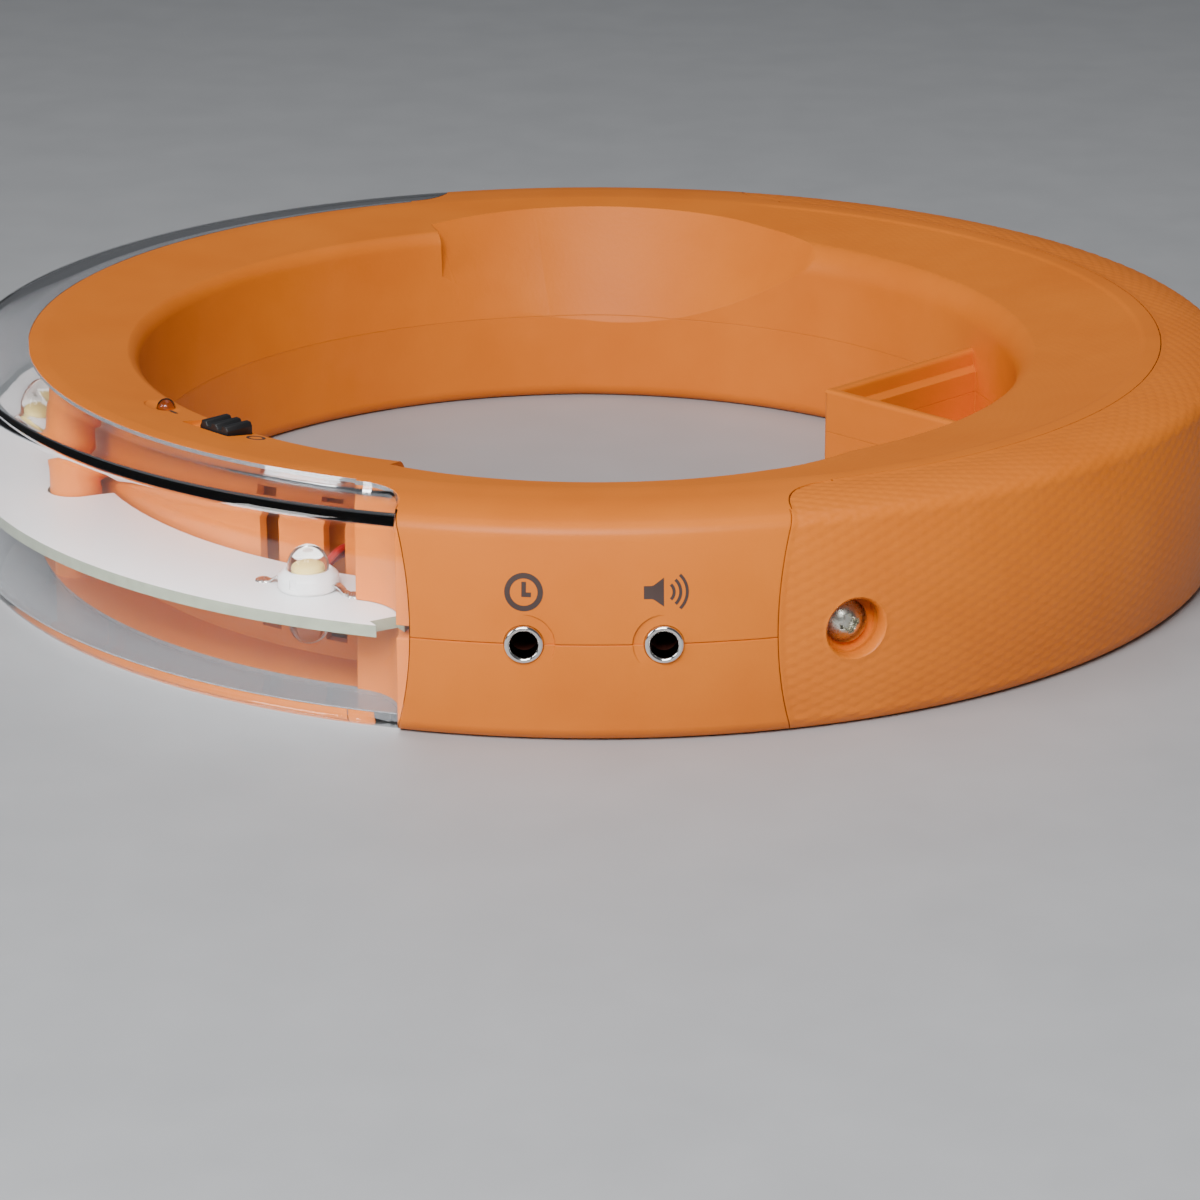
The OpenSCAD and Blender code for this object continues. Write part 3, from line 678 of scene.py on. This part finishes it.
def pocket_walls(upper):
    """The V-shaped wall of the thumb pocket, swept along its two legs with a rounded rim."""
    round_r = 0.7
    section = np.vstack([
        [[0, 1.5], [0, PARTING_Z]], arc(round_r, POCKET_H - round_r, round_r, 180, 90, 5),
        arc(POCKET_T - round_r, POCKET_H - round_r, round_r, 90, 0, 5),
        [[POCKET_T, LEDGE_Z + 0.5], [POCKET_T + 1, LEDGE_Z - 0.3], [POCKET_T + 1, 1.5]]])
    d = math.sqrt(0.5)
    path = [((POCKET_X + 40, -40), (d, d)), ((POCKET_X, 0), (math.sqrt(2), 0)),
            ((POCKET_X + 40, 40), (d, -d))]
    n = len(section)
    verts = [(p[0] + a * o[0], p[1] + a * o[1], z) for p, o in path for a, z in section]
    faces = [[i * n + k, i * n + (k + 1) % n, (i + 1) * n + (k + 1) % n, (i + 1) * n + k]
             for i in range(2) for k in range(n)]
    faces += [list(range(n)), [2 * n + k for k in range(n)][::-1]]
    wall = outward(mesh_object("pocket", verts, faces))
    bm = bmesh.new()
    bm.from_mesh(wall.data)
    corner = [e for e in bm.edges if all(abs(v.co.x - POCKET_X) < 0.01 for v in e.verts)]
    bmesh.ops.bevel(bm, geom=corner, offset=0.9, segments=4, affect="EDGES", profile=0.5)
    bm.to_mesh(wall.data)
    bm.free()
    hole = drum(HOLE_R + 1, 0, 40, Matrix.Translation((-GRIP_INSET, 0, 0)), 720)
    return half_of(common(wall, hole), upper)


def pocket_floor():
    floor = prism([(POCKET_X + 1.4, 0), (POCKET_X + 41, -39.6), (POCKET_X + 41, 39.6)], 1.5, 3.5)
    return common(floor, drum(HOLE_R + 1, 0, 10, Matrix.Translation((-GRIP_INSET, 0, 0)), 720))


SLIDE_A = -44.7 - math.degrees(math.asin(1.5 / KNOB_R))


def switch_cutters():
    """The window of the knob's stem, and the shallow recess that the knob slides in."""
    at = turned(SLIDE_A) @ Matrix.Translation((0, -KNOB_R, 0))
    stem = block(-2.7, 2.7, -0.9, 0.9, 26, 34)
    recess = bevel(block(-5, 5, -2.6, 2.6, RING_H - 2.2, 34), 0.4, 3)
    for part in (stem, recess):
        part.data.transform(at)
    hole = drum(1.4, 26, 34, turned(INDICATOR_A) @ Matrix.Translation((0, -KNOB_R, 0)), 64)
    pad = lathe([(0, 0), (0.9, 0.02), (1.8, 0.1), (2.6, 0.35), (2.9, 0.8), (0, 0.8)], "pad", 64,
                turned(INDICATOR_A) @ Matrix.Translation((0, -KNOB_R, slope_z(KNOB_R) - 0.25))
                @ Matrix.Diagonal((1.5, 1, 1, 1)))
    return [stem, recess, hole, pad]


def upper_casing():
    top = shell(True)
    inner = [half_of(form, True) for form in webs() + [back_wall()]]
    top = join(top, *inner, *bosses(True), pocket_walls(True))
    top = cut(top, *lamp_slots(), *jack_cutters(0.5), *sound_slots(), *switch_cutters(),
              parting_groove())
    return top


def lower_casing():
    low = shell(False)
    inner = [half_of(form, False) for form in webs() + [back_wall()]]
    low = join(low, *inner, *bosses(False), pocket_walls(False), pocket_floor())
    seats = [drum(3.2, -1, 2.5, turned(a) @ Matrix.Translation((0, -r, 0)), 64)
             for a, r, _ in BOSSES]
    return cut(low, *lamp_slots(), *jack_cutters(0.32), *sound_slots(), *seats,
               parting_groove())


# ---------------------------------------------------------------- lens and grip cover
def insert_outer(fine):
    """Outer face of the lens or cover, from its lower flange to its upper one."""
    return np.vstack([[[FLANGE_R - 3, 0]], outer_side(fine), [[FLANGE_R - 3, RING_H]]])


def insert_inner(t, fine):
    """Inner face of the lens or cover, t inside the outer one and running back down."""
    whole = inset(np.vstack([[[58, 0]], outer_side(fine), [[58, RING_H]]]), t)[1:-1]
    return np.vstack([[[FLANGE_R - 3, t]], whole, [[FLANGE_R - 3, RING_H - t]]])[::-1]


def lamp_window():
    section = np.vstack([insert_outer(2), insert_inner(LENS_T, 2)])
    lens = revolve(section, "lens", 700, SEAM_A - 4, 184 - SEAM_A)
    return mirror_x(common(lens, insert_space(0)))


def outer_lengths(points):
    steps = np.linalg.norm(np.diff(points, axis=0), axis=1)
    return np.concatenate([[0], np.cumsum(steps)])


def resampled(points, pitch):
    s = outer_lengths(points)
    at = np.linspace(0, s[-1], int(s[-1] / pitch) + 1)
    return np.column_stack([np.interp(at, s, points[:, k]) for k in (0, 1)])


def grip_skin():
    """The grip cover: a thin shell whose outer face carries rows of overlapping scales."""
    face = resampled(insert_outer(4), 0.30)
    section = np.vstack([face, insert_inner(WALL, 1)])
    n = len(face)
    s = outer_lengths(face)
    tangent = np.gradient(face, axis=0)
    tangent /= np.linalg.norm(tangent, axis=1)[:, None]
    normal = np.column_stack([tangent[:, 1], -tangent[:, 0]])

    def relief(turns, grid):
        along = np.radians(turns)[:, None] * RING_R
        lift = (scales(along, s[None, :]) - 1) * SCALE_DEPTH
        r = face[:, 0]
        edge = smooth((r - (FLANGE_R + 0.35)) / 0.4) * smooth((face[:, 1] - 0.2) / 1.5)
        x = np.radians(turns - SEAM_A)[:, None] * RING_R
        bow = BOW_R - np.sqrt(BOW_R ** 2 - (face[:, 1] - MID_Z) ** 2)
        ends = smooth((x - bow[None, :] - 0.3) / 0.5)
        x_rear = np.radians(180 - SEAM_A - turns)[:, None] * RING_R
        ends = ends * smooth((x_rear - bow[None, :] - 0.3) / 0.5)
        for angle in COVER_SCREW_ANGLES:
            u = np.radians(turns - angle)[:, None] * RING_R
            d = np.sqrt(u ** 2 + (face[:, 1] - PARTING_Z)[None, :] ** 2)
            ends = ends * smooth((d - 4.3) / 0.4)
        out = grid.copy()
        out[:, :n] += (lift * edge[None, :] * ends)[..., None] * normal[None]
        return out

    skin = revolve(section, "grip", 950, SEAM_A - 4, 184 - SEAM_A, warp=relief)
    skin = common(skin, insert_space(0))
    places = [outwards(angle, 0, PARTING_Z) for angle in COVER_SCREW_ANGLES]
    skin = join(skin, *[drum(5.5, 86.3, 92.9, at, 64) for at in places])
    for at in places:
        skin = cut(skin, drum(1.8, 80, 100, at, 48), drum(4, COVER_SEAT_R, 110, at, 96),
                   drum(4, RING_R - 0.45, RING_R + 0.3, at, 96, 4.75))
    return skin


# ---------------------------------------------------------------- metal and small parts
def bezel(x):
    at = Matrix.Translation((x, 0, PARTING_Z)) @ Matrix.Rotation(math.radians(90), 4, "X")
    rim_r = 0.375
    rim_z = JACK_FRONT - rim_r
    rim = arc(1.8 + rim_r, rim_z, rim_r, 0, 180, 10)
    return lathe([(1.8, JACK_BACK), (2.55, JACK_BACK), (2.55, rim_z), *rim[1:-1].tolist(),
                  (1.8, rim_z)], "bezel", 96, at)


def pan_screw(head_d, head_h, shank_d, length):
    """A pan head screw along +Z with its seat at 0, a domed head and a cross recess."""
    r = head_d / 2
    dome = arc(0, head_h - r * 1.15, r * 1.15, 60, 90, 8)
    side_z = head_h * 0.5
    head = [(0, 0), (r * 0.97, 0), (r, 0.12), (r, side_z * 0.7)]
    head += [(x, max(z, side_z)) for x, z in dome.tolist() if x < r * 0.99]
    body = lathe(head[:-1] + [(0, head_h)], "head", 64)
    for turn in (0, 90):
        points = [(-r * 0.58, head_h + 0.4), (-r * 0.30, head_h * 0.28), (r * 0.30, head_h * 0.28),
                  (r * 0.58, head_h + 0.4)]
        w = head_d * 0.075
        slot = prism(points, -w, w, "slot")
        slot.data.transform(turned(turn) @ Matrix.Rotation(math.radians(90), 4, "X"))
        body = cut(body, slot)
    core = drum(head_d * 0.13, head_h * 0.3, head_h + 0.5, steps=24, r_top=head_d * 0.2)
    body = cut(body, core)
    pitch, depth = 1.0, 0.22
    turns = int(length / pitch)
    thread = [(0, 0.05)]
    for k in range(turns):
        thread += [(shank_d / 2 - depth, -k * pitch - 0.1), (shank_d / 2, -k * pitch - pitch / 2)]
    thread += [(shank_d / 2 - depth, -turns * pitch), (0, -length)]
    return merged([body, lathe(thread, "shank", 48)], "screw")


def cover_screws():
    found = []
    for angle, spin in zip(COVER_SCREW_ANGLES, (12, 33)):
        screw = pan_screw(5.8, 1.9, 2.6, 9.9)
        screw.data.transform(outwards(angle, COVER_SEAT_R, PARTING_Z) @ turned(spin))
        found.append(screw)
    return merged(found, "screws")


def shell_screws():
    found = []
    for k, (angle, r, _) in enumerate(BOSSES):
        screw = pan_screw(5.6, 1.8, 2.8, 14.9)
        screw.data.transform(turned(angle) @ Matrix.Translation((0, -r, 2.5))
                             @ Matrix.Rotation(math.pi, 4, "X") @ turned(17 * k))
        found.append(screw)
    return merged(found, "screws")


def at_lamps(make):
    """make() on the board at each lamp, on top and mirrored underneath."""
    found = []
    for angle in LED_ANGLES:
        for side, z in ((1, BOARD_TOP), (-1, BOARD_LOW)):
            part = make()
            part.data.transform(turned(angle) @ Matrix.Translation((0, -LED_R, z))
                                @ Matrix.Diagonal((1, 1, side, 1)))
            if side < 0:
                part.data.flip_normals()
            found.append(part)
    return merged(found, "lamps")


def lamp_package():
    body = lathe([(0, 0), (3.6, 0), (3.75, 0.1), (3.75, 0.35), (4, 0.4), (4, 1.9), (3.9, 2.1),
                  (3.2, 2.7), (3.05, 2.8), (2.85, 2.8), (2.8, 2.6), (0, 2.6)], "package", 96)
    notch = block(-0.5, 0.5, -4.4, -3.7, 0.9, 3)
    return cut(body, notch)


def lamp_dome():
    outer = arc(0, 0, 2.75, 0, 90, 14)
    points = [(0, 2.65), (2.75, 2.65)] + [(x, 3.25 + z) for x, z in outer.tolist()]
    return lathe([(max(0.0, x) if x > 1e-3 else 0.0, min(z, 6.0)) for x, z in points], "dome", 96)


def lamp_phosphor():
    top = arc(0, 0, 1.5, 0, 90, 8)
    return lathe([(0, 2.62), (1.5, 2.62)] + [(x if x > 1e-3 else 0.0, 2.9 + 0.45 * z)
                                              for x, z in top.tolist()], "phosphor", 48)


def lamp_lead():
    """Two bent leads with rounded pads of solder on their feet."""
    parts = []
    for side in (-1, 1):
        line = [(3.6, 1.25), (4.5, 1.25), (5.1, 0.9), (5.6, 0.42), (6.2, 0.3), (7.4, 0.3)]
        thick = 0.28
        low = [(x, max(0.02, z - thick)) for x, z in line]
        outline = line + low[::-1]
        strip = prism(outline[::-1], -0.65, 0.65, "lead")
        strip.data.transform(Matrix.Rotation(math.radians(90), 4, "X"))
        parts.append(bevel(strip, 0.08, 2))
        pad = lathe([(0, 0), (1.25, 0), (1.15, 0.2), (0.75, 0.42), (0.3, 0.55), (0, 0.58)],
                    "pad", 32)
        pad.data.transform(Matrix.Translation((6.9, 0, 0)) @ Matrix.Diagonal((1.05, 0.8, 1, 1)))
        parts.append(pad)
        if side < 0:
            for part in parts[-2:]:
                part.data.transform(turned(180))
    return merged(parts, "leads")


def knob():
    """The switch knob: a block with three ribs across its travel, above its stem."""
    z = RING_H - 2.1
    ribs = []
    for i in (-1, 0, 1):
        x = 2.2 * i
        ribs += [(x + 0.85, z + 1.45), (x + 0.5, z + 2.05), (x - 0.35, z + 2.1),
                 (x - 0.6, z + 1.45)]
    outline = [(-3, z), (3, z), (3, z + 1.3)]
    for i in (2, 1, 0):
        outline += ribs[4 * i:4 * i + 4]
    outline += [(-3, z + 1.3)]
    body = prism(outline, -2.2, 2.2, "knob")
    body.data.transform(Matrix.Rotation(math.radians(90), 4, "X"))
    body = bevel(outward(body), 0.12, 2, 25)
    stem = block(-0.9, 0.9, -0.7, 0.7, 24.1, z + 0.3)
    body = join(body, stem)
    body.data.transform(turned(SLIDE_A) @ Matrix.Translation((0, -KNOB_R, 0))
                        @ Matrix.Translation((1.5, 0, 0)))
    return body


def indicator():
    dome = arc(0, 0, 1.3, 0, 90, 10)
    points = [(0, 22.4), (1.3, 22.4)] + [(x if x > 1e-3 else 0.0, 29.4 + z)
                                          for x, z in dome.tolist()]
    return lathe(points, "indicator", 64, turned(INDICATOR_A) @ Matrix.Translation((0, -KNOB_R, 0)))


BUTTON_X = 53


def button():
    """The start button: a cap with a rounded edge and a shallow finger dish, hollow below."""
    low, top, r = 6.3, 11.6, 8.0
    edge = arc(r - 1, top - 1, 1, 0, 90, 8)
    points = [(r - 1.6, low), (r + 1, low), (r + 1, low + 1.2), (r, low + 1.2), *edge.tolist(),
              (5.2, top - 0.12), (3, top - 0.45), (0, top - 0.55), (0, top - 1.8),
              (r - 1.6, top - 1.8)]
    return lathe(points, "button", 128, Matrix.Translation((BUTTON_X, 0, 0)))


# ---------------------------------------------------------------- printed marks
def on_barrel(u, z, lift):
    """A point u mm round the outer side from the front, at height z, lifted off the surface."""
    a = u / RING_R
    r = barrel_x(z) + lift
    return (r * math.sin(a), -r * math.cos(a), z)


def on_land(centre_a, centre_r):
    def place(u, v, lift):
        r = centre_r + v
        a = math.radians(centre_a) + u / centre_r
        return (r * math.sin(a), -r * math.cos(a), slope_z(r) + lift)
    return place


def band_mark(points, width, place, closed=False, lift=MARK_LIFT):
    """A printed line of constant width through points of (u, v)."""
    pts = np.array(points, float)
    ahead = np.roll(pts, -1, 0) - pts if closed else np.gradient(pts, axis=0)
    back = pts - np.roll(pts, 1, 0) if closed else ahead
    tangent = ahead / np.linalg.norm(ahead, axis=1)[:, None]
    tangent = tangent + back / np.linalg.norm(back, axis=1)[:, None]
    tangent /= np.linalg.norm(tangent, axis=1)[:, None]
    side = np.column_stack([-tangent[:, 1], tangent[:, 0]]) * width / 2
    rows = [pts + side, pts - side]
    n = len(pts)
    verts = [place(*p, h) for h in (0.0, lift) for row in rows for p in row]
    faces = []
    for k in range(n if closed else n - 1):
        k2 = (k + 1) % n
        a, b, c, d = k, k2, n + k, n + k2
        faces += [[a, b, d, c], [2 * n + a, 2 * n + c, 2 * n + d, 2 * n + b],
                  [a, 2 * n + a, 2 * n + b, b], [c, d, 2 * n + d, 2 * n + c]]
    if not closed:
        faces += [[0, n, 3 * n, 2 * n], [n - 1, 3 * n - 1, 4 * n - 1, 2 * n - 1]]
    return outward(mesh_object("mark", verts, faces))


def circle_points(cu, cv, r, a0=0, a1=360, n=48):
    closed = abs(a1 - a0) == 360
    return [(cu + r * math.cos(math.radians(a)), cv + r * math.sin(math.radians(a)))
            for a in np.linspace(a0, a1, n, endpoint=not closed)]


def side_place(centre_a, centre_z):
    u0 = math.radians(centre_a) * RING_R
    return lambda u, v, lift: on_barrel(u0 + u, centre_z + v, lift)


def line_points(p, q, n=8):
    return np.linspace(p, q, n).tolist()


def clock_mark():
    place = side_place(-5.38, 21.2)
    return merged([band_mark(circle_points(0, 0, 2.15), 0.72, place, True),
                   band_mark(line_points((0, 1.35), (0, -0.32)), 0.6, place),
                   band_mark(line_points((-0.3, -0.32), (0.95, -0.32)), 0.6, place)], "clock")


def speaker_mark():
    place = side_place(5.67, 21.2)
    horn = []
    for k in range(9):
        f = k / 8
        u = -3.1 + 2.6 * f
        half = 0.85 if f < 0.45 else 0.85 + (f - 0.45) / 0.55 * 1.05
        horn.append((u, half))
    n = len(horn)
    verts = [place(u, s * h, lift) for lift in (0.0, MARK_LIFT) for s in (1, -1) for u, h in horn]
    faces = []
    for k in range(n - 1):
        a, b, c, d = k, k + 1, n + k, n + k + 1
        faces += [[a, b, d, c], [2 * n + a, 2 * n + c, 2 * n + d, 2 * n + b],
                  [a, 2 * n + a, 2 * n + b, b], [c, d, 2 * n + d, 2 * n + c]]
    faces += [[0, n, 3 * n, 2 * n], [n - 1, 3 * n - 1, 4 * n - 1, 2 * n - 1]]
    parts = [outward(mesh_object("horn", verts, faces))]
    for r in (1.35, 2.2, 3.05):
        parts.append(band_mark(circle_points(-0.55, 0, r, -46, 46, 20), 0.4, place))
    return merged(parts, "speaker")


def switch_marks():
    ring = band_mark(circle_points(0, 0, 1.12), 0.42, on_land(-40.2, 71.7), True)
    bar = band_mark(line_points((-0.95, 0), (0.95, 0)), 0.5, on_land(-54, 72.7))
    return merged([ring, bar], "marks")


# ---------------------------------------------------------------- the pieces
piece(upper_casing(), "casing_top", orange, replaces=["upper_shell"])
piece(lower_casing(), "casing_bottom", orange, replaces=["lower_shell"])
piece(lamp_window(), "lamp_window", window, replaces=["lamp_lens"], shadow=False)
piece(grip_skin(), "grip_skin", orange_grip, replaces=["grip_cover"], sharp=50)
piece(bezel(-JACK_X), "timer_bezel", nickel, replaces=["timer_jack_bezel"])
piece(bezel(JACK_X), "speaker_bezel", nickel, replaces=["speaker_jack_bezel"])
piece(cover_screws(), "cover_screw_pair", zinc, replaces=["cover_screws"])
piece(shell_screws(), "shell_screw_set", zinc, replaces=["shell_screws"])
piece(at_lamps(lamp_package), "lamp_packages", lamp_white,
      replaces=["led_packages"])
piece(at_lamps(lamp_dome), "lamp_domes", dome_clear, replaces=["led_domes"],
      shadow=False)
piece(at_lamps(lamp_phosphor), "lamp_phosphor", phosphor)
piece(at_lamps(lamp_lead), "lamp_leads", tin, replaces=["led_leads"])
piece(knob(), "switch_knob_cap", black, "switch_knob",
      replaces=["power_switch_knob"])
piece(indicator(), "indicator_dome", indicator_red, replaces=["indicator_led"])
piece(button(), "start_button_cap", black, "start_button",
      replaces=["start_button"])
piece(clock_mark(), "clock_mark", print_ink)
piece(speaker_mark(), "speaker_mark", print_ink)
piece(switch_marks(), "switch_marks", print_ink)

CARRIED = {
    "cover_posts": orange, "lamp_board": white_board, "control_board": green_board,
    "switch_board": green_board,
    "button_board": green_board, "timer_jack_body": jack_plastic, "speaker_jack_body": jack_plastic,
    "jack_pins": tin, "board_chips": black, "power_switch_body": black, "switch_wiper": steel_wire,
    "button_spring": steel_wire, "button_switch": black, "pocket_plate": orange,
    "battery_1": sleeve, "battery_2": sleeve, "battery_3": sleeve, "battery_tray": black,
    "battery_plates": steel_wire, "battery_springs": steel_wire, "sounder": black,
    "sounder_gasket": foam, "battery_wires": wire_red, "lamp_wires": wire_red,
    "sounder_wires": wire_grey,
}
for node, material in CARRIED.items():
    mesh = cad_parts[node].data
    mesh.materials.clear()
    mesh.materials.append(material)


# ---------------------------------------------------------------- camera, floor and light
def light(name, place, aim, size, power, colour=(1, 1, 1)):
    data = bpy.data.lights.new(name, "AREA")
    data.shape = "RECTANGLE"
    data.size, data.size_y = size
    data.energy = power
    data.color = colour
    obj = bpy.data.objects.new(name, data)
    obj.location = place
    obj.rotation_euler = (Vector(aim) - Vector(place)).to_track_quat("-Z", "Y").to_euler()
    bpy.context.scene.collection.objects.link(obj)


camera = bpy.data.cameras.new("camera")
camera.lens = 116.3
camera.sensor_width = 36
camera.clip_start, camera.clip_end = 0.05, 20
viewer = bpy.data.objects.new("camera", camera)
bpy.context.scene.collection.objects.link(viewer)
viewer.location = (0.00078, -0.56274, 0.18293)
target = Vector((0.00078, -0.0374, 0))
viewer.rotation_euler = (target - viewer.location).to_track_quat("-Z", "Y").to_euler()
bpy.context.scene.camera = viewer

floor = block(-2000, 2000, -2000, 2500, -20, 0, "floor")
floor.data.transform(Matrix.Scale(MM, 4))
floor.data.materials.append(surface("floor_grey", (0.40, 0.41, 0.425), (0.43, 0.44, 0.455),
                                    (0.5, 0.6), 400.0, 0.00001))

light("front_softbox", (-0.10, -0.62, 0.50), (0, -0.085, 0.01), (0.42, 0.26), 7.6)
light("left_window", (-0.62, -0.42, 0.34), (-0.06, -0.03, 0.01), (0.22, 0.34), 2.1)
light("overhead", (0.05, 0.05, 0.80), (0, 0, 0), (0.5, 0.4), 1.0)
world = bpy.data.worlds.new("studio")
world.use_nodes = True
world.node_tree.nodes["Background"].inputs["Color"].default_value = (0.30, 0.31, 0.33, 1)
world.node_tree.nodes["Background"].inputs["Strength"].default_value = 0.35
bpy.context.scene.world = world
